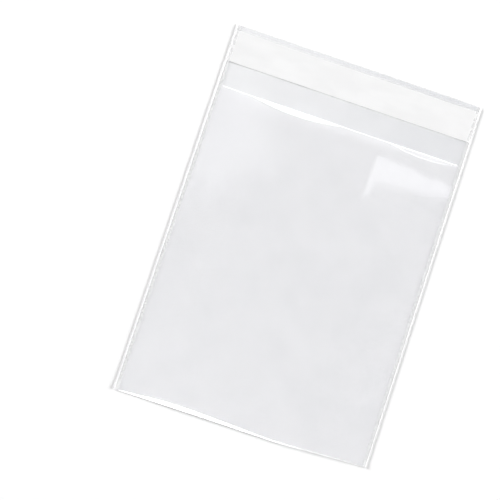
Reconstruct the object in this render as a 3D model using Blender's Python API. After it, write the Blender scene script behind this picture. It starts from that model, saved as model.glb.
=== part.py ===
"""Clear self-seal film bag, lying on its back panel with the mouth a little open.

One web of film runs from the flap down the back panel, round the bottom fold and up the
front panel to the mouth. Both side edges are hot-cut welds that end in a bead. The flap
carries a line of adhesive under a peel-off liner.

X runs across the bag, Y from the bottom fold to the flap's edge, and Z up. The origin is
on the surface that the bag lies on, at the middle of its outline. Units are metres.
"""

import math

import bmesh
import bpy

# Outline of the flat bag. The bottom fold runs in a little towards the right corner.
BAG_WIDTH = 0.214
BODY_LENGTH = 0.2614
FLAP_LENGTH = 0.0524
CORNER_DRAW = 0.0037
CORNER_DRAW_REACH = 0.077
CORNER_DRAW_POWER = 1.2

# Film and its side welds
FILM_THICKNESS = 0.00005
WELD_WIDTH = 0.0036
BEAD_WIDTH = 0.0013
BEAD_HEIGHT = 0.0004

# How the film stands as it lies: the room between the panels, and the lifted side edges
LOFT = 0.0068
MOUTH_GAP = 0.0052
MOUTH_DRAW = 0.0011
FOLD_RISE_LENGTH = 0.085
MOUTH_SETTLE_LENGTH = 0.100
PANEL_FULLNESS = 2.8
EDGE_LIFT = 0.0016
EDGE_LIFT_REACH = 0.022

# The bottom fold turns up in a tight arc and comes over in a long flat one. It is longest
# and highest in the loose roll, whose middle and reach to both sides are shares of the half
# pouch.
FOLD_RADIUS = 0.0004
FOLD_GAP = 0.0012
FOLD_LENGTH = 0.0009
ROLL_MIDDLE = -0.62
ROLL_TO_LEFT = 0.49
ROLL_TO_RIGHT = 0.92
ROLL_LENGTH = 0.0042
ROLL_GAP = 0.0011

# The mouth's lip turns up along its whole edge, but for a fade at the welds, and further in
# along two curls. Each is its middle and half width, as shares of the half pouch, how far in
# from the turned edge it reaches, and its slope.
LIP_SLOPE = math.tan(math.radians(19))
LIP_LENGTH = 0.0007
LIP_FADE = 0.0015
LIP_CURLS = (
    (-0.36, 0.38, 0.0041, math.tan(math.radians(19))),
    (0.71, 0.29, 0.0034, math.tan(math.radians(24))),
)

# Closure on the flap
LINER_WIDTH = 0.0267
LINER_THICKNESS = 0.00006
LINER_FROM_EDGE = 0.0047
ADHESIVE_WIDTH = 0.0095
ADHESIVE_THICKNESS = 0.00004
ADHESIVE_OFF_CENTRE = 0.0003
LAYER_GAP = 0.0003

# Fineness of the facets
PANEL_COLUMNS = 32
BODY_STATIONS = 25
ARC_STEPS = 3
ROLL_STEPS = 6
BEAD_STEPS = 6
WELD_POINT = 1e-7
SHARP_ANGLE = math.radians(40)

# Colour, roughness and cover of each material
FILM_LOOK = ((0.86, 0.88, 0.89), 0.08, 0.30)
ADHESIVE_LOOK = ((0.84, 0.84, 0.85), 0.30, 0.60)
LINER_LOOK = ((0.93, 0.93, 0.93), 0.45, 0.85)

TOTAL_LENGTH = BODY_LENGTH + FLAP_LENGTH
Y_BOTTOM = -TOTAL_LENGTH / 2
Y_MOUTH = Y_BOTTOM + BODY_LENGTH
Y_TOP = Y_BOTTOM + TOTAL_LENGTH
HALF_WIDTH = BAG_WIDTH / 2
HALF_POUCH = HALF_WIDTH - WELD_WIDTH


def smoothstep(value):
    """0 below 0, 1 above 1, and a smooth rise between."""
    value = min(max(value, 0.0), 1.0)
    return value * value * (3 - 2 * value)


def edge_lift(x):
    """Height of the back panel's underside: flat in the middle, raised along the side welds."""
    from_edge = HALF_WIDTH - abs(x)
    return EDGE_LIFT * smoothstep(1 - from_edge / EDGE_LIFT_REACH)


def fullness(x):
    """Share of the loft at x: 1 in the middle and 0 where the panels meet in the welds."""
    return max(0.0, 1 - abs(x / HALF_POUCH) ** PANEL_FULLNESS)


def bump(value, middle, half):
    """A smooth hump of height 1 round middle that reaches 0 at a distance of half."""
    away = min(abs(value - middle) / half, 1.0)
    return math.cos(away * math.pi / 2) ** 2


def bottom_edge(x):
    """Where the outside of the bottom fold lies at x."""
    past = max(0.0, 1 - (HALF_WIDTH - x) / CORNER_DRAW_REACH)
    return Y_BOTTOM + CORNER_DRAW * past ** CORNER_DRAW_POWER


def mouth_edge(x):
    """Where the front panel ends at x: its arch draws it back from the flat back panel."""
    return Y_MOUTH - MOUTH_DRAW * fullness(x)


def roll(x):
    """Share of the bottom fold's loose roll at x."""
    share = x / HALF_POUCH
    return bump(share, ROLL_MIDDLE, ROLL_TO_LEFT if share < ROLL_MIDDLE else ROLL_TO_RIGHT)


def fold_radius(x):
    """Inside radius of the bottom fold's tight lower turn, which the welds pinch shut."""
    return FOLD_RADIUS * fullness(x)


def roll_length(x):
    """How far in from the bottom edge the front panel keeps curving, inside the film."""
    return (FOLD_LENGTH + ROLL_LENGTH * roll(x)) * math.sqrt(fullness(x))


def curl_parts(x):
    """The reach and the slope at x of each of the lip's curls."""
    parts = []
    for middle, half, length, slope in LIP_CURLS:
        away = (x / HALF_POUCH - middle) / half
        parts.append((length * max(0.0, 1 - away * away), slope))
    return parts


def lip_reach(x):
    """How far in from the mouth the lip turns up."""
    return LIP_LENGTH + sum(reach for reach, slope in curl_parts(x))


def lip_rise(x, y):
    """Height that the upturned lip adds: its curls come up first, then its own edge."""
    past_turn = y - mouth_edge(x) + LIP_LENGTH
    rise = LIP_SLOPE * max(0.0, past_turn)
    for reach, slope in curl_parts(x):
        rise += slope * min(max(0.0, past_turn + reach), reach)
    free = min(max((HALF_POUCH - abs(x)) / LIP_FADE, 0.0), 1.0)
    return rise * free


def panel_gap(x, y):
    """Clear height between the back and front panels."""
    start = bottom_edge(x) + FILM_THICKNESS + roll_length(x)
    fold_gap = FOLD_GAP + ROLL_GAP * roll(x)
    up = smoothstep((y - start) / FOLD_RISE_LENGTH)
    down = smoothstep(1 - (Y_MOUTH - y) / MOUTH_SETTLE_LENGTH)
    middle_gap = fold_gap + (LOFT - fold_gap) * up - (LOFT - MOUTH_GAP) * down
    return middle_gap * fullness(x) + lip_rise(x, y)


def body_stations(x, y_start, y_end):
    """Places from y_start to y_end, closest together at both ends, the last but one at the lip."""
    reach = y_end - lip_reach(x) - y_start
    steps = (0.5 - 0.5 * math.cos(math.pi * k / BODY_STATIONS) for k in range(BODY_STATIONS + 1))
    return [y_start + reach * step for step in steps] + [y_end]


def fold_turn(y_tip, z_base, radius, length, z_top):
    """Points round the fold: a quarter circle up from the table, then a long quarter ellipse."""
    points = []
    for step in range(1, ARC_STEPS + 1):
        angle = math.pi / 2 * step / ARC_STEPS
        y = y_tip + radius * (1 - math.sin(angle))
        points.append((y, z_base + radius * (1 - math.cos(angle))))
    z_middle = z_base + radius
    for step in range(1, ROLL_STEPS):
        angle = math.pi / 2 * step / ROLL_STEPS
        y = y_tip + length * (1 - math.cos(angle))
        points.append((y, z_middle + (z_top - z_middle) * math.sin(angle)))
    return points


def folded_path(x, y_tip, z_base, radius, length, roof):
    """The back panel's, the fold's and the front panel's (y, z) points, from mouth to mouth.

    roof is what lies between z_base and the face of the front panel, apart from the gap.
    """
    back = [(y, z_base) for y in reversed(body_stations(x, y_tip + radius, Y_MOUTH))]
    front = body_stations(x, y_tip + length, mouth_edge(x))
    over = [(y, z_base + roof + panel_gap(x, y)) for y in front]
    return back + fold_turn(y_tip, z_base, radius, length, over[0][1]) + over


def outside_path(x, layers_height):
    """The (y, z) path from the flap's edge under the bag, round the fold and back to the mouth."""
    base = edge_lift(x)
    half = layers_height / 2
    radius = fold_radius(x) + half
    length = roll_length(x) + half
    return [(Y_TOP, base)] + folded_path(x, bottom_edge(x), base, radius, length, layers_height)


def inside_path(x):
    """The (y, z) path from the mouth down the front panel's inner face, round the fold and back."""
    tip = bottom_edge(x) + FILM_THICKNESS
    floor = edge_lift(x) + FILM_THICKNESS
    return folded_path(x, tip, floor, fold_radius(x), roll_length(x), 0.0)[::-1]


def film_material(name, colour, roughness, alpha):
    """A see-through plastic with the given colour, gloss and cover."""
    material = bpy.data.materials.new(name)
    material.use_nodes = True
    shader = material.node_tree.nodes["Principled BSDF"]
    shader.inputs["Base Color"].default_value = (*colour, 1.0)
    shader.inputs["Roughness"].default_value = roughness
    shader.inputs["Metallic"].default_value = 0.0
    shader.inputs["Alpha"].default_value = alpha
    return material


def ring(mesh, x, path):
    """The vertices of one closed section at x."""
    return [mesh.verts.new((x, y, z)) for y, z in path]


def skin(mesh, left, right):
    """Closes the surface between two sections that have the same number of points."""
    for k in range(len(left)):
        after = (k + 1) % len(left)
        mesh.faces.new((left[k], left[after], right[after], right[k]))


def finish(mesh, name, material):
    """Welds the points that coincide and makes the object."""
    bmesh.ops.remove_doubles(mesh, verts=mesh.verts, dist=WELD_POINT)
    bmesh.ops.recalc_face_normals(mesh, faces=mesh.faces)
    data = bpy.data.meshes.new(name)
    mesh.to_mesh(data)
    mesh.free()
    data.materials.append(material)
    data.shade_smooth()
    data.set_sharp_from_angle(angle=SHARP_ANGLE)
    piece = bpy.data.objects.new(name, data)
    bpy.context.scene.collection.objects.link(piece)
    return piece


def weld_ring(mesh, x, height):
    """A section through the fused side, where height is that of the bead above the film, or 0."""
    base = edge_lift(x)
    body_height = max(height, 2 * FILM_THICKNESS)
    flap_height = max(height, FILM_THICKNESS)
    path = outside_path(x, body_height)
    flap = [(Y_MOUTH, base + flap_height), (Y_TOP, base + flap_height)]
    return ring(mesh, x, path + flap)


def add_weld(mesh, side, pouch_end):
    """The fused strip and its bead, from the pouch's last section out to the bag's edge."""
    previous = pouch_end
    bead_middle = HALF_WIDTH - BEAD_WIDTH / 2
    for step in range(BEAD_STEPS + 1):
        angle = math.pi * (1 - step / BEAD_STEPS)
        x = bead_middle + BEAD_WIDTH / 2 * math.cos(angle)
        section = weld_ring(mesh, side * x, BEAD_HEIGHT * math.sin(angle))
        skin(mesh, previous, section)
        previous = section
    mesh.faces.new(previous)


def make_film_bag(material):
    """The bag's film, lofted across its width from the folded film's own section."""
    mesh = bmesh.new()
    sections = []
    for column in range(PANEL_COLUMNS + 1):
        x = -HALF_POUCH * math.cos(math.pi * column / PANEL_COLUMNS)
        outside = outside_path(x, 2 * FILM_THICKNESS)
        inside = inside_path(x)
        path = outside + inside + [(Y_TOP, edge_lift(x) + FILM_THICKNESS)]
        sections.append((ring(mesh, x, path), len(outside), len(outside) + len(inside)))
    for left, right in zip(sections, sections[1:]):
        skin(mesh, left[0], right[0])
    for side, (verts, inside_start, inside_end) in ((-1, sections[0]), (1, sections[-1])):
        add_weld(mesh, side, verts[:inside_start] + verts[inside_end - 1:])
    return finish(mesh, "film_bag", material)


def make_flap_strip(name, y_lower, y_upper, standoff, thickness, material):
    """A strip across the flap between the side beads, that follows the flap's own curve."""
    mesh = bmesh.new()
    half = HALF_WIDTH - BEAD_WIDTH - LAYER_GAP
    previous = None
    for column in range(PANEL_COLUMNS + 1):
        x = -half * math.cos(math.pi * column / PANEL_COLUMNS)
        low = edge_lift(x) + FILM_THICKNESS + standoff
        high = low + thickness
        section = ring(mesh, x, [(y_lower, low), (y_upper, low), (y_upper, high), (y_lower, high)])
        if previous is None:
            mesh.faces.new(section)
        else:
            skin(mesh, previous, section)
        previous = section
    mesh.faces.new(previous)
    return finish(mesh, name, material)


def main():
    for old in list(bpy.data.objects):
        bpy.data.objects.remove(old)
    film = film_material("clear_film", *FILM_LOOK)
    glue = film_material("adhesive", *ADHESIVE_LOOK)
    frosted = film_material("frosted_liner", *LINER_LOOK)
    make_film_bag(film)
    liner_upper = Y_TOP - LINER_FROM_EDGE
    liner_lower = liner_upper - LINER_WIDTH
    adhesive_middle = (liner_upper + liner_lower) / 2 + ADHESIVE_OFF_CENTRE
    make_flap_strip(
        "adhesive_strip",
        adhesive_middle - ADHESIVE_WIDTH / 2,
        adhesive_middle + ADHESIVE_WIDTH / 2,
        LAYER_GAP,
        ADHESIVE_THICKNESS,
        glue,
    )
    make_flap_strip(
        "release_liner",
        liner_lower,
        liner_upper,
        2 * LAYER_GAP + ADHESIVE_THICKNESS,
        LINER_THICKNESS,
        frosted,
    )


main()
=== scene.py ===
"""Looks of a clear self-seal film bag that lies on a white table, seen from above."""

import math

import bpy
import numpy as np
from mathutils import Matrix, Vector


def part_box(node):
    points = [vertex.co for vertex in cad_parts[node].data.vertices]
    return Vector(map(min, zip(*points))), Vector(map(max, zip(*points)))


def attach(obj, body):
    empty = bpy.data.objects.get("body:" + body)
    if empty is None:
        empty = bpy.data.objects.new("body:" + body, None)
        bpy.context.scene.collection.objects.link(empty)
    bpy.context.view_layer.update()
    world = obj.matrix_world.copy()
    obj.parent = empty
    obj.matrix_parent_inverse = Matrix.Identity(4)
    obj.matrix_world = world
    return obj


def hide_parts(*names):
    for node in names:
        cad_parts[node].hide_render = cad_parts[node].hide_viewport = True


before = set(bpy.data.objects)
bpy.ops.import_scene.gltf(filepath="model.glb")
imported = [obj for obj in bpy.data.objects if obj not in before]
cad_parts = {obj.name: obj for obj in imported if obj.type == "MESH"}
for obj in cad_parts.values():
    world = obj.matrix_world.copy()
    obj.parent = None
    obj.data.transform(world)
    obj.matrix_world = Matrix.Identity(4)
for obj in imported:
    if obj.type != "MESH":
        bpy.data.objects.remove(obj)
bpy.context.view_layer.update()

# Sizes of the bag, from the frame's nodes
FILM_LOW, FILM_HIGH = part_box("film_bag")
LINER_LOW, LINER_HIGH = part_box("release_liner")
ADHESIVE_LOW, ADHESIVE_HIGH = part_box("adhesive_strip")
HALF_WIDTH = FILM_HIGH[0]
Y_BOTTOM = FILM_LOW[1]
Y_TOP = FILM_HIGH[1]

# Sizes that the frame's boxes don't show, as the solids have them
BODY_LENGTH = 0.2614
CORNER_DRAW = 0.0037
CORNER_DRAW_REACH = 0.077
CORNER_DRAW_POWER = 1.2
FILM_THICKNESS = 0.00005
WELD_WIDTH = 0.0036
BEAD_WIDTH = 0.0013
BEAD_HEIGHT = 0.0004
MOUTH_DRAW = 0.0011
FOLD_RISE_LENGTH = 0.085
MOUTH_SETTLE_LENGTH = 0.100
PANEL_FULLNESS = 2.8
EDGE_LIFT_REACH = 0.022
FOLD_RADIUS = 0.0004
FOLD_GAP = 0.0012
FOLD_LENGTH = 0.0009
Y_MOUTH = Y_BOTTOM + BODY_LENGTH
HALF_POUCH = HALF_WIDTH - WELD_WIDTH

# The loose roll of the bottom fold: its middle and its reach to both sides, as shares of the half
# pouch, and its size
ROLL_MIDDLE = -0.62
ROLL_TO_LEFT = 0.49
ROLL_TO_RIGHT = 0.92
ROLL_LENGTH = 0.0042
ROLL_GAP = 0.0011

# The mouth's lip turns up along its whole edge, and further in along two curls, each with its
# middle and half width as shares of the half pouch, its length and its slope
LIP_SLOPE = math.tan(math.radians(19))
LIP_LENGTH = 0.0007
LIP_FADE = 0.0015
LIP_CURLS = (
    (-0.36, 0.38, 0.0041, math.tan(math.radians(19))),
    (0.71, 0.29, 0.0034, math.tan(math.radians(24))),
)

# What is a little less than in the solids: the pouch's height, its mouth's height, and how far
# the side edges stand off the table
LOFT = 0.0066
MOUTH_GAP = 0.0051
EDGE_LIFT = 0.0005

# What the solids leave out: the bottom edge stands off the table a little, the front panel is
# level for a stretch before the mouth, and the lip's crease is a little rounded
BOTTOM_LIFT = 0.0010
BOTTOM_LIFT_REACH = 0.016
MOUTH_LEVEL = 0.018
LIP_CREASE = 0.0004

# The slack film's swells: wave trains over the front and the back panel, with lengths between
# two shares of the given one, and one swell of the front panel by the right seal
WAVE_TRAINS = 7
SHORTEST_WAVE, LONGEST_WAVE = 0.7, 1.8
FRONT_SWELL = 0.00004
FRONT_SWELL_LENGTH = 0.070
FRONT_SWELL_SEED = 11
BACK_BUCKLE = 0.00030
BACK_BUCKLE_LENGTH = 0.045
BACK_BUCKLE_FADE = 0.02
BACK_BUCKLE_SEED = 5
SEAL_SWELL = 0.00030
SEAL_SWELL_X = 0.097
SEAL_SWELL_REACH_X = 0.013
SEAL_SWELL_Y = 0.050
SEAL_SWELL_REACH_Y = 0.028

# Fineness of the meshes
COLUMNS = 120
FLAP_STATIONS = 26
BACK_STATIONS = 110
FRONT_STATIONS = 190
ARC_STATIONS = 5
ROLL_STATIONS = 14
SEAL_STATIONS = 720
BAND_COLUMNS = 7
BEAD_COLUMNS = 10
STRIP_COLUMNS = 140
STRIP_ROWS = 18
SHARP_ANGLE = math.radians(50)

# The soft strips close the gaps that part the solids and lie almost on the flap
ADHESIVE_STANDOFF = 0.00001
LINER_STANDOFF = 0.00007
STRIP_THICKNESS = 0.00005

# The side seals: a bead along the cut, a puckered band inside it and a ragged inner boundary.
# Each uneven value has a size and the spacing along the seal at which it changes, give or take
# the jitter as a share of it.
PANEL_OVERLAP = 0.9995
SEAL_OVERLAP = 0.00015
SEAL_THICKNESS = 0.00013
BAND_SHARE = 0.62
TEETH = 0.0007
TEETH_SPACING = 0.0024
DRIFT = 0.0004
DRIFT_SPACING = 0.020
PUCKER = 0.00020
PUCKER_SPACING = 0.0021
PUCKER_FROM_EDGE = 0.0030
PUCKER_REACH = 0.0012
RIPPLE = 0.06
RIPPLE_SPACING = 0.004
SPACING_JITTER = 0.35
LEFT_SEAL_SEED, RIGHT_SEAL_SEED = 21, 57

# The camera, fitted to the photograph's four corners of the bag: its angles are in degrees, its
# lens and sensor in millimetres
CAMERA_PLACE = (-0.0622, -0.0867, 0.9572)
CAMERA_ANGLES = (3.53, -2.71, 18.46)
CAMERA_LENS = 85.0
CAMERA_SENSOR = 36.0

# How much of what is behind each layer of film is hidden, seen straight on, and the share of
# that which mirrors. The flap hides a little more towards the right, a painted shade that
# makes it darker there.
FRONT_COVER, FRONT_MIRROR = 0.12, 0.68
BACK_COVER, BACK_MIRROR = 0.19, 0.35
FOLD_COVER, FOLD_MIRROR = 0.28, 0.86
FLAP_COVER, FLAP_MIRROR = 0.17, 0.15
FLAP_PAINTED_SHADE = 0.11

# How fast a layer's cover grows towards a grazing view, and how uneven a film's cover is
GRAZING_POWER = 5.0
HAZE = 0.06

# The same for what isn't clear: the span of the cover, lowest and highest
LINER_COVER = (0.86, 0.91)
ADHESIVE_COVER = (0.46, 0.58)
BAND_COVER = (0.34, 0.50)
BEAD_COVER = 0.98

# The bead's white, partly the fused film's own frost and partly a painted highlight for the
# light its round edge catches, ends in a short fade, and its outermost rim is clear
BEAD_FADE = 0.0002
CLEAR_RIM = 0.0003

FILM_TINT = (0.875, 0.877, 0.905, 1)
FLAP_TINT = (0.78, 0.79, 0.82, 1)
FOLD_TINT = (0.97, 0.972, 0.98, 1)
SEAL_TINT = (0.94, 0.943, 0.95, 1)
LINER_TINT = (0.99, 0.99, 0.992, 1)
ADHESIVE_TINT = (0.60, 0.605, 0.62, 1)
TABLE_TINT = (0.9, 0.9, 0.9, 1)

# Roughness
GLOSSY = 0.05
SEALED = 0.28
SATIN = 0.30
FROSTED = 0.42

# The world's even light, and how much brighter and darker than white the mirrored room gets
ROOM_LIGHT = 0.10
ROOM_GLOW = 0.6
ROOM_SHADE = 0.8

# Where the mirrored room changes, as slopes of the heading from straight up: its slope towards +Y,
# less a share, the slant, of its slope towards +X. The upward share of a heading counts as no less
# than the last value.
GLOW_SLANT = 0.35
GLOW_EDGE = (0.182, 0.242)
SHADE_SLANT = 0.6
SHADE_EDGE = (0.12, 0.22)
SHADE_START = (0.25, 0.30)
LEAST_UPWARD = 0.05

# The heading's upward share at which the room's walls start and stop to dim, and what they dim to
WALL_SPAN = (0.2, 0.65)
WALL_FOOT = 0.7

TABLE_HEIGHT = -0.0001
TABLE_SIZE = 30.0
TABLE_GLOW = 0.14

# The key lamps stand at both sides, each side with a high and a low one: the name, the height
# and the brightness of its face, where 1 is white
KEY_X, KEY_Y = 10.0, 4.0
KEY_FACE = (4.0, 4.0)
KEYS = (("key", 5.0, 21.9), ("low_key", 3.3, 12.1))

# Upright cards beyond the bottom fold and level windows overhead, which only reflections show
CARD_Y = -0.6
WINDOW_HEIGHT = 1.2

# How many see-through faces a ray may pass
FACES_PASSED = 32


def smoothstep(value):
    """0 below 0, 1 above 1, and a smooth rise between."""
    value = np.clip(value, 0.0, 1.0)
    return value * value * (3 - 2 * value)


def bump(value, middle, half):
    """A smooth hump of height 1 round middle that reaches 0 at a distance of half."""
    away = np.clip((value - middle) / half, -1.0, 1.0)
    return np.cos(away * math.pi / 2) ** 2


def spread(count):
    """count + 1 shares from 0 to 1, closest together at both ends."""
    return 0.5 - 0.5 * np.cos(np.pi * np.arange(count + 1) / count)


def edge_lift(x, y):
    """How far the bag's underside stands off the table: its side edges and its bottom edge do."""
    sides = EDGE_LIFT * smoothstep(1 - (HALF_WIDTH - np.abs(x)) / EDGE_LIFT_REACH)
    bottom = BOTTOM_LIFT * smoothstep(1 - (y - Y_BOTTOM) / BOTTOM_LIFT_REACH)
    return np.maximum(sides, bottom)


def fullness(x):
    """Share of the loft at x: 1 in the middle and 0 where the panels meet in the welds."""
    return np.clip(1 - np.abs(x / HALF_POUCH) ** PANEL_FULLNESS, 0.0, None)


def waves(x, y, height, length, seed):
    """Low swells in many directions, between -height and height, for film that isn't stretched."""
    draw = np.random.default_rng(seed)
    total = np.zeros(np.broadcast(x, y).shape)
    for _ in range(WAVE_TRAINS):
        heading = draw.uniform(0, math.pi)
        reach = length * draw.uniform(SHORTEST_WAVE, LONGEST_WAVE)
        phase = draw.uniform(0, 2 * math.pi)
        along = (x * math.cos(heading) + y * math.sin(heading)) * 2 * math.pi / reach
        total += np.sin(along + phase)
    return total * height / WAVE_TRAINS


def bottom_edge(x):
    """Where the outside of the bottom fold lies at x."""
    past = np.clip(1 - (HALF_WIDTH - x) / CORNER_DRAW_REACH, 0.0, None)
    return Y_BOTTOM + CORNER_DRAW * past ** CORNER_DRAW_POWER


def mouth_edge(x):
    """Where the front panel ends at x: its arch draws it back from the flat back panel."""
    return Y_MOUTH - MOUTH_DRAW * fullness(x)


def roll(x):
    """Share of the bottom fold's loose roll at x."""
    share = x / HALF_POUCH
    return bump(share, ROLL_MIDDLE, np.where(share < ROLL_MIDDLE, ROLL_TO_LEFT, ROLL_TO_RIGHT))


def roll_length(x):
    """How far in from the bottom edge the front panel keeps curving, inside the film."""
    return (FOLD_LENGTH + ROLL_LENGTH * roll(x)) * np.sqrt(fullness(x))


def eased(past):
    """past where it is above 0 and 0 below, with the crease between a little rounded."""
    soft = LIP_CREASE / 2
    return np.where(past < -soft, 0.0, np.where(past > soft, past, (past + soft) ** 2 / (4 * soft)))


def lip_rise(x, y):
    """Height that the upturned lip adds: its curls come up first, then its own edge."""
    edge_turn = mouth_edge(x) - LIP_LENGTH
    rise = LIP_SLOPE * eased(y - edge_turn)
    for middle, half, length, slope in LIP_CURLS:
        away = (x / HALF_POUCH - middle) / half
        reach = length * np.clip(1 - away * away, 0.0, None)
        rise = rise + slope * (eased(y - edge_turn + reach) - eased(y - edge_turn))
    free = np.clip((HALF_POUCH - np.abs(x)) / LIP_FADE, 0.0, 1.0)
    return rise * free


def panel_gap(x, y):
    """Clear height between the back and front panels, from the roll of the fold to the mouth."""
    start = bottom_edge(x) + FILM_THICKNESS + roll_length(x)
    fold_gap = FOLD_GAP + ROLL_GAP * roll(x)
    up = smoothstep((y - start) / FOLD_RISE_LENGTH)
    down = smoothstep(1 - (Y_MOUTH - MOUTH_LEVEL - y) / MOUTH_SETTLE_LENGTH)
    gap = fold_gap + (LOFT - fold_gap) * up - (LOFT - MOUTH_GAP) * down
    swell = waves(x, y, FRONT_SWELL, FRONT_SWELL_LENGTH, FRONT_SWELL_SEED) * up * (1 - down)
    across = bump(x, SEAL_SWELL_X, SEAL_SWELL_REACH_X)
    along = bump(y, SEAL_SWELL_Y, SEAL_SWELL_REACH_Y)
    swell = swell + SEAL_SWELL * across * along
    return (gap + swell) * fullness(x) + lip_rise(x, y)


def back_height(x, y):
    """Height of the back panel's underside, which buckles a little off the table."""
    buckle = np.clip(waves(x, y, BACK_BUCKLE, BACK_BUCKLE_LENGTH, BACK_BUCKLE_SEED), 0.0, None)
    from_bottom = smoothstep((y - Y_BOTTOM) / BACK_BUCKLE_FADE)
    from_top = smoothstep((Y_TOP - y) / BACK_BUCKLE_FADE)
    return edge_lift(x, y) + buckle * (from_bottom * from_top) * fullness(x)


def film_face(x, offset):
    """The points of one face of the film, offset inwards from the outer one.

    Each column runs from the flap's edge under the bag, round the bottom fold and over to the
    mouth. The fold turns up in a tight arc and comes over in a long quarter ellipse.
    """
    radius = FOLD_RADIUS * fullness(x) + FILM_THICKNESS - offset
    tip = bottom_edge(x) + offset
    length = roll_length(x) + FILM_THICKNESS - offset
    flap = Y_TOP + (Y_MOUTH - Y_TOP) * np.linspace(0, 1, FLAP_STATIONS, endpoint=False)[:, None]
    back = Y_MOUTH + (tip + radius - Y_MOUTH) * spread(BACK_STATIONS)[:, None]
    turn = np.radians(90) * np.linspace(0, 1, ARC_STATIONS + 1)[1:, None]
    lower_y = tip + radius * (1 - np.sin(turn))
    lower_z = edge_lift(x, back[-1]) + offset + radius * (1 - np.cos(turn))
    rise = np.radians(90) * np.linspace(0, 1, ROLL_STATIONS + 1)[1:-1, None]
    front = tip + length + (mouth_edge(x) - tip - length) * spread(FRONT_STATIONS)[:, None]
    front_z = edge_lift(x, front) + 2 * FILM_THICKNESS + panel_gap(x, front) - offset
    roll_y = tip + length * (1 - np.cos(rise))
    roll_z = lower_z[-1] + (front_z[0] - lower_z[-1]) * np.sin(rise)
    back_y = np.concatenate([flap + 0 * x, back])
    path_y = np.concatenate([back_y, lower_y, roll_y, front])
    path_z = np.concatenate([back_height(x, back_y) + offset, lower_z, roll_z, front_z])
    return np.stack([np.broadcast_to(x, path_y.shape), path_y, path_z], axis=2)


def thick_sheet(name, outer, inner, materials, changes=()):
    """A closed thin solid between two faces, each a grid of points of the same size.

    The faces take the next material from each of the rows in changes on.
    """
    rows, columns = outer.shape[:2]
    index = np.arange(rows * columns).reshape(rows, columns)
    below = index + rows * columns
    quads = [
        grid_quads(index),
        grid_quads(below)[:, ::-1],
        rim_quads(index[0], below[0]),
        rim_quads(below[-1], index[-1]),
        rim_quads(below[:, 0], index[:, 0]),
        rim_quads(index[:, -1], below[:, -1]),
    ]
    points = np.concatenate([outer.reshape(-1, 3), inner.reshape(-1, 3)])
    data = bpy.data.meshes.new(name)
    data.from_pydata(points.tolist(), [], np.concatenate(quads).tolist())
    for material in materials:
        data.materials.append(material)
    row = np.tile(np.repeat(np.arange(rows - 1), columns - 1), 2)
    slots = np.zeros(len(data.polygons), dtype=np.int32)
    slots[:len(row)] = np.searchsorted(changes, row, side="right")
    data.polygons.foreach_set("material_index", slots)
    data.shade_smooth()
    data.set_sharp_from_angle(angle=SHARP_ANGLE)
    data.update()
    piece = bpy.data.objects.new(name, data)
    bpy.context.scene.collection.objects.link(piece)
    return piece


def grid_quads(index):
    """The faces of a grid of vertex numbers."""
    corners = [index[:-1, :-1], index[:-1, 1:], index[1:, 1:], index[1:, :-1]]
    return np.stack([corner.ravel() for corner in corners], axis=1)


def rim_quads(upper, lower):
    """The faces between two lines of vertex numbers."""
    return np.stack([upper[:-1], lower[:-1], lower[1:], upper[1:]], axis=1)


def put_on_bag(piece, node):
    """Puts a piece on the bag's body in place of its solid."""
    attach(piece, "root")
    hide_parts(node)


def make_panels(films):
    """The folded film between the side seals: the flap, the back, the bottom fold and the front."""
    x = (HALF_POUCH * PANEL_OVERLAP * (2 * spread(COLUMNS) - 1))[None, :]
    outer = film_face(x, 0.0)
    inner = film_face(x, FILM_THICKNESS)
    fold_start = FLAP_STATIONS + BACK_STATIONS
    changes = (FLAP_STATIONS, fold_start, fold_start + ARC_STATIONS + ROLL_STATIONS)
    sheet = thick_sheet("film_panels", outer, inner, films, changes)
    put_on_bag(sheet, "film_bag")


def seal_noise(y, spacing, seed):
    """Uneven values from 0 to 1 along the seal, about one change for each spacing."""
    draw = np.random.default_rng(seed)
    knots = np.arange(Y_BOTTOM - 2 * spacing, Y_TOP + 3 * spacing, spacing)
    knots = knots + draw.uniform(-SPACING_JITTER, SPACING_JITTER, len(knots)) * spacing
    return np.interp(y, knots, draw.uniform(0, 1, len(knots)))


def make_seal(side, seed, material):
    """The fused edge: a bead along the cut, and a puckered band inside it."""
    along = np.linspace(0, 1, SEAL_STATIONS)[:, None]
    length_y = Y_BOTTOM + (Y_TOP - Y_BOTTOM) * along
    teeth = TEETH * seal_noise(length_y, TEETH_SPACING, seed)
    drift = DRIFT * seal_noise(length_y, DRIFT_SPACING, seed + 1)
    width = WELD_WIDTH + SEAL_OVERLAP + teeth + drift
    band = np.linspace(0, BAND_SHARE, BAND_COLUMNS, endpoint=False)
    share = np.concatenate([band, np.linspace(BAND_SHARE, 1, BEAD_COLUMNS)])
    from_edge = width * (1 - share[None, :])
    x = side * (HALF_WIDTH - from_edge)
    edge = bottom_edge(x)
    y = edge + (Y_TOP - edge) * along
    across = np.clip(from_edge / BEAD_WIDTH, 0, 1)
    bead = BEAD_HEIGHT * np.sqrt(np.clip(1 - (2 * across - 1) ** 2, 0, 1))
    ripple = 1 + RIPPLE * seal_noise(y, RIPPLE_SPACING, seed + 3)
    puckered = bump(from_edge, PUCKER_FROM_EDGE, PUCKER_REACH)
    pucker = PUCKER * seal_noise(y, PUCKER_SPACING, seed + 2) * puckered
    low = edge_lift(x, y)
    top = low + SEAL_THICKNESS + bead * ripple + pucker
    outer = np.stack([x, y, top], axis=2)
    inner = np.stack([x, y, low], axis=2)
    if side < 0:
        outer, inner = outer[:, ::-1], inner[:, ::-1]
    name = "side_seal_left" if side < 0 else "side_seal_right"
    seal = thick_sheet(name, outer[::-1], inner[::-1], (material,))
    put_on_bag(seal, "film_bag")


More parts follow.
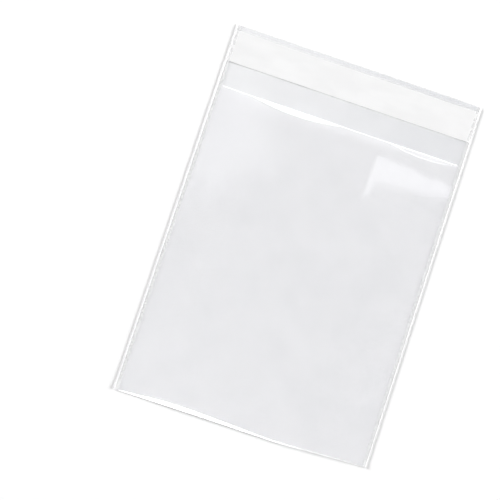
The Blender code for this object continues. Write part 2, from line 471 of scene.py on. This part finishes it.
def make_strip(name, low, high, standoff, material):
    """A thin strip across the flap, as long and wide as its solid, that lies along the film."""
    x = (low[0] + (high[0] - low[0]) * spread(STRIP_COLUMNS))[None, :]
    y = np.linspace(low[1], high[1], STRIP_ROWS)[:, None]
    bottom = back_height(x, y) + FILM_THICKNESS + standoff
    grid_x, grid_y = np.broadcast_to(x, bottom.shape), np.broadcast_to(y, bottom.shape)
    under = np.stack([grid_x, grid_y, bottom], axis=2)
    over = under + np.array([0, 0, STRIP_THICKNESS])
    return thick_sheet(name, over, under, (material,))


class Nodes:
    """Short calls for building a node tree."""

    def __init__(self, owner):
        owner.use_nodes = True
        self.tree = owner.node_tree
        self.tree.nodes.clear()

    def add(self, kind, values=None, **settings):
        """A node of the kind, with its sockets set to values or joined to other sockets."""
        node = self.tree.nodes.new(kind)
        for key, value in settings.items():
            setattr(node, key, value)
        for key, value in (values or {}).items():
            socket = node.inputs[key]
            if isinstance(value, bpy.types.NodeSocket):
                self.tree.links.new(value, socket)
            else:
                socket.default_value = value
        return node

    def math(self, operation, first, second=0.0, clamp=False):
        """The result of the operation on two values."""
        values = {0: first, 1: second}
        return self.add("ShaderNodeMath", values, operation=operation, use_clamp=clamp).outputs[0]

    def ramp(self, value, span, result):
        """value taken smoothly from one span, low and high, to another."""
        values = {"Value": value, 1: span[0], 2: span[1], 3: result[0], 4: result[1]}
        node = self.add("ShaderNodeMapRange", values, interpolation_type="SMOOTHSTEP")
        return node.outputs[0]

    def position(self):
        """Where the point is on the bag, in metres."""
        return self.add("ShaderNodeTexCoord").outputs["Object"]

    def axes(self, vector):
        """The X, Y and Z of a vector."""
        return self.add("ShaderNodeSeparateXYZ", {"Vector": vector}).outputs

    def noise(self, scale, detail, stretch=(1, 1, 1), distortion=0.0):
        """Cloudy values from 0 to 1, with scale clouds to the metre before the stretch."""
        values = {"Vector": self.position(), "Scale": stretch}
        scaled = self.add("ShaderNodeMapping", values).outputs[0]
        values = {"Vector": scaled, "Scale": scale, "Detail": detail, "Distortion": distortion}
        return self.add("ShaderNodeTexNoise", values).outputs["Fac"]

    def relief(self, height, strength, distance):
        """A surface direction that shows height as relief, distance deep in metres."""
        values = {"Strength": strength, "Distance": distance, "Height": height}
        return self.add("ShaderNodeBump", values).outputs[0]

    def surface(self, tint, roughness, **more):
        """A coated surface, with more of its sockets by name where they are given."""
        values = {"Base Color": tint, "Roughness": roughness, **more}
        return self.add("ShaderNodeBsdfPrincipled", values).outputs[0]

    def see_through(self, cover, surface):
        """Shows what is behind by the share that cover leaves."""
        clear = self.add("ShaderNodeBsdfTransparent").outputs[0]
        mixed = self.add("ShaderNodeMixShader", {0: cover, 1: clear, 2: surface}).outputs[0]
        self.add("ShaderNodeOutputMaterial", {"Surface": mixed})

    def looks_straight(self):
        """1 for a ray that meets a mirror, a camera or clear glass, 0 for one that lights."""
        rays = self.add("ShaderNodeLightPath").outputs
        seen = self.math("MAXIMUM", rays["Is Camera Ray"], rays["Is Glossy Ray"])
        return self.math("MAXIMUM", seen, rays["Is Transmission Ray"])


def grazing_cover(nodes, straight):
    """Cover that grows from straight, seen face on, towards 1 at a grazing angle.

    The light that the lamps send through the film isn't dimmed by its slant.
    """
    facing = nodes.add("ShaderNodeLayerWeight", {"Blend": 0.5}).outputs["Facing"]
    slanted = nodes.math("POWER", facing, GRAZING_POWER)
    grazing = nodes.math("MULTIPLY", slanted, nodes.looks_straight())
    rest = nodes.math("SUBTRACT", 1.0, straight)
    return nodes.math("ADD", straight, nodes.math("MULTIPLY", rest, grazing), clamp=True)


def clear_film(name, straight_cover, mirror_share, tint, roughness, painted_shade=0.0, veiled=True):
    """Clear film with a faint uneven haze and fine draw lines across the bag.

    The cover grows from the left side to the right one by the given share, a painted shade that
    darkens the film towards the right, and where veiled is set also towards a grazing view.
    """
    material = bpy.data.materials.new(name)
    nodes = Nodes(material)
    across = nodes.axes(nodes.position())["X"]
    sides = (-HALF_WIDTH, HALF_WIDTH)
    # Painted shade: the cover grows from the left side to the right one, darkening the film there.
    even = nodes.ramp(across, sides, (straight_cover, straight_cover + painted_shade))
    haze = nodes.ramp(nodes.noise(scale=22.0, detail=3.0), (0.35, 0.70), (1 - HAZE, 1 + HAZE))
    cover = nodes.math("MULTIPLY", even, haze)
    draw_lines = nodes.noise(scale=700.0, detail=2.0, stretch=(0.04, 1, 1))
    normal = nodes.relief(draw_lines, strength=0.02, distance=0.00001)
    surface = nodes.surface(tint, roughness, Metallic=mirror_share, Normal=normal)
    nodes.see_through(grazing_cover(nodes, cover) if veiled else cover, surface)
    return material


def sealed_film():
    """Film that the heat of the seal has turned white: dense in the bead, where the white is also a
    painted highlight for its round edge, uneven inside it.
    """
    material = bpy.data.materials.new("sealed_film")
    nodes = Nodes(material)
    from_middle = nodes.math("ABSOLUTE", nodes.axes(nodes.position())["X"])
    from_edge = nodes.math("SUBTRACT", HALF_WIDTH, from_middle)
    flecks = nodes.noise(scale=900.0, detail=3.0)
    band = nodes.ramp(flecks, (0.38, 0.62), BAND_COVER)
    # The bead's dense white is partly the seal's own frost and partly a painted highlight.
    inside = nodes.ramp(from_edge, (BEAD_WIDTH, BEAD_WIDTH + BEAD_FADE), (BEAD_COVER, 0.0))
    outside = nodes.ramp(from_edge, (CLEAR_RIM / 2, CLEAR_RIM), (0.0, 1.0))
    cover = nodes.math("MAXIMUM", band, nodes.math("MULTIPLY", inside, outside))
    pitted = nodes.relief(flecks, strength=0.15, distance=0.00006)
    surface = nodes.surface(SEAL_TINT, SEALED, Normal=pitted)
    nodes.see_through(grazing_cover(nodes, cover), surface)
    return material


def frosted_liner():
    """White frosted film with a soft cloudy texture."""
    material = bpy.data.materials.new("frosted_liner")
    nodes = Nodes(material)
    clouds = nodes.noise(scale=60.0, detail=4.0, stretch=(0.4, 1, 1))
    cover = nodes.ramp(clouds, (0.3, 0.7), LINER_COVER)
    grain = nodes.noise(scale=1500.0, detail=2.0)
    frost = nodes.relief(grain, strength=0.2, distance=0.00003)
    nodes.see_through(cover, nodes.surface(LINER_TINT, FROSTED, Normal=frost))
    return material


def adhesive():
    """Thin tacky coat, a little greyer than the film, with soft ragged streaks."""
    material = bpy.data.materials.new("adhesive")
    nodes = Nodes(material)
    streaks = nodes.noise(scale=90.0, detail=4.0, stretch=(0.25, 1, 1), distortion=0.3)
    cover = nodes.ramp(streaks, (0.3, 0.7), ADHESIVE_COVER)
    nodes.see_through(grazing_cover(nodes, cover), nodes.surface(ADHESIVE_TINT, SATIN))
    return material


def white_table():
    """White table that keeps the bag's shadow and meets the picture's white background."""
    material = bpy.data.materials.new("white_table")
    nodes = Nodes(material)
    glow = nodes.math("MULTIPLY", nodes.looks_straight(), TABLE_GLOW)
    matt = nodes.add("ShaderNodeBsdfDiffuse", {"Color": TABLE_TINT}).outputs[0]
    light = nodes.add("ShaderNodeEmission", {"Strength": glow}).outputs[0]
    both = nodes.add("ShaderNodeAddShader", {0: matt, 1: light}).outputs[0]
    nodes.add("ShaderNodeOutputMaterial", {"Surface": both})
    return material


def make_table():
    """The table top under the bag."""
    half = TABLE_SIZE / 2
    corners = [(-half, -half), (half, -half), (half, half), (-half, half)]
    data = bpy.data.meshes.new("table_top")
    data.from_pydata([(x, y, TABLE_HEIGHT) for x, y in corners], [], [(0, 1, 2, 3)])
    data.materials.append(white_table())
    floor = bpy.data.objects.new("table_top", data)
    bpy.context.scene.collection.objects.link(floor)


def mirrored_room(nodes):
    """How bright the room is in the film's reflections.

    It is brighter than white up and to the left, dark up and to the right, and a little dimmer
    towards the foot of its walls.
    """
    heading = nodes.axes(nodes.add("ShaderNodeTexCoord").outputs["Generated"])
    height = nodes.math("MAXIMUM", heading["Z"], LEAST_UPWARD)
    across = nodes.math("DIVIDE", heading["X"], height)
    away = nodes.math("DIVIDE", heading["Y"], height)
    to_left = nodes.math("SUBTRACT", away, nodes.math("MULTIPLY", across, GLOW_SLANT))
    glow = nodes.ramp(to_left, GLOW_EDGE, (0.0, ROOM_GLOW))
    to_right = nodes.math("SUBTRACT", away, nodes.math("MULTIPLY", across, SHADE_SLANT))
    right = nodes.ramp(to_right, SHADE_EDGE, (1.0, 0.0))
    shade = nodes.math("MULTIPLY", right, nodes.ramp(away, SHADE_START, (0.0, ROOM_SHADE)))
    walls = nodes.ramp(heading["Z"], WALL_SPAN, (WALL_FOOT, 1.0))
    return nodes.math("SUBTRACT", nodes.math("ADD", glow, walls), shade)


def make_world():
    """Even light from all round, which the camera and the film see as a bright room."""
    world = bpy.data.worlds.new("studio")
    bpy.context.scene.world = world
    nodes = Nodes(world)
    shares = {0: nodes.looks_straight(), 2: ROOM_LIGHT, 3: mirrored_room(nodes)}
    mix = nodes.add("ShaderNodeMix", shares, data_type="FLOAT").outputs[0]
    back = nodes.add("ShaderNodeBackground", {"Strength": mix}).outputs[0]
    nodes.add("ShaderNodeOutputWorld", {"Surface": back})


def make_lamp(name, location, size, radiance, aim=(0, 0, 0), reflected_only=False):
    """A rectangular soft box whose face has the given brightness, where 1 is white."""
    data = bpy.data.lights.new(name, "AREA")
    data.shape = "RECTANGLE"
    data.size, data.size_y = size
    data.energy = radiance * math.pi * size[0] * size[1]
    lamp = bpy.data.objects.new(name, data)
    lamp.location = location
    direction = Vector(aim) - Vector(location)
    lamp.rotation_euler = direction.to_track_quat("-Z", "Y").to_euler()
    lamp.visible_camera = False
    lamp.visible_diffuse = not reflected_only
    bpy.context.scene.collection.objects.link(lamp)


def make_keys():
    """The lamps that light the table and the bag, from both sides."""
    for side, where in ((-1, "left"), (1, "right")):
        for kind, height, radiance in KEYS:
            make_lamp(kind + "_" + where, (side * KEY_X, KEY_Y, height), KEY_FACE, radiance)


def make_card(name, x, height, size, radiance):
    """An upright card, turned to the bag, for the rolled fold and the upturned lip to mirror."""
    make_lamp(name, (x, CARD_Y, height), size, radiance, (x, 0, height), reflected_only=True)


def make_window(name, x, y, size, radiance):
    """A level panel overhead, for the front panel to mirror."""
    make_lamp(name, (x, y, WINDOW_HEIGHT), size, radiance, (x, y, 0), reflected_only=True)


def make_camera():
    """The camera, nearly straight above the bag."""
    data = bpy.data.cameras.new("camera")
    data.lens = CAMERA_LENS
    data.sensor_width = CAMERA_SENSOR
    camera = bpy.data.objects.new("camera", data)
    camera.location = CAMERA_PLACE
    camera.rotation_euler = [math.radians(angle) for angle in CAMERA_ANGLES]
    bpy.context.scene.collection.objects.link(camera)
    bpy.context.scene.camera = camera


def make_studio():
    """The camera, the table, the world and every lamp."""
    make_camera()
    make_table()
    make_world()
    make_keys()
    make_card("card_left", x=-0.66, height=0.855, size=(1.58, 1.67), radiance=4.5)
    make_card("card_high", x=0.78, height=1.43, size=(1.30, 0.52), radiance=4.5)
    make_card("card_low", x=0.78, height=0.595, size=(1.30, 1.15), radiance=0.45)
    make_window("window", x=0.6085, y=0.3045, size=(0.799, 0.019), radiance=1.2)
    make_window("window_tail", x=0.2205, y=0.2865, size=(0.023, 0.017), radiance=0.8)


def make_bag():
    """The film with its side seals, the adhesive and the liner."""
    films = (
        clear_film("clear_film_flap", FLAP_COVER, FLAP_MIRROR, FLAP_TINT, SATIN, FLAP_PAINTED_SHADE),
        clear_film("clear_film_back", BACK_COVER, BACK_MIRROR, FILM_TINT, SATIN),
        clear_film("creased_film", FOLD_COVER, FOLD_MIRROR, FOLD_TINT, GLOSSY, veiled=False),
        clear_film("clear_film_front", FRONT_COVER, FRONT_MIRROR, FILM_TINT, GLOSSY),
    )
    make_panels(films)
    seal = sealed_film()
    make_seal(-1, LEFT_SEAL_SEED, seal)
    make_seal(1, RIGHT_SEAL_SEED, seal)
    line = make_strip("adhesive_line", ADHESIVE_LOW, ADHESIVE_HIGH, ADHESIVE_STANDOFF, adhesive())
    put_on_bag(line, "adhesive_strip")
    liner = make_strip("peel_liner", LINER_LOW, LINER_HIGH, LINER_STANDOFF, frosted_liner())
    put_on_bag(liner, "release_liner")


make_studio()
make_bag()

bpy.context.scene.view_settings.view_transform = "Standard"
bpy.context.scene.cycles.transparent_max_bounces = FACES_PASSED
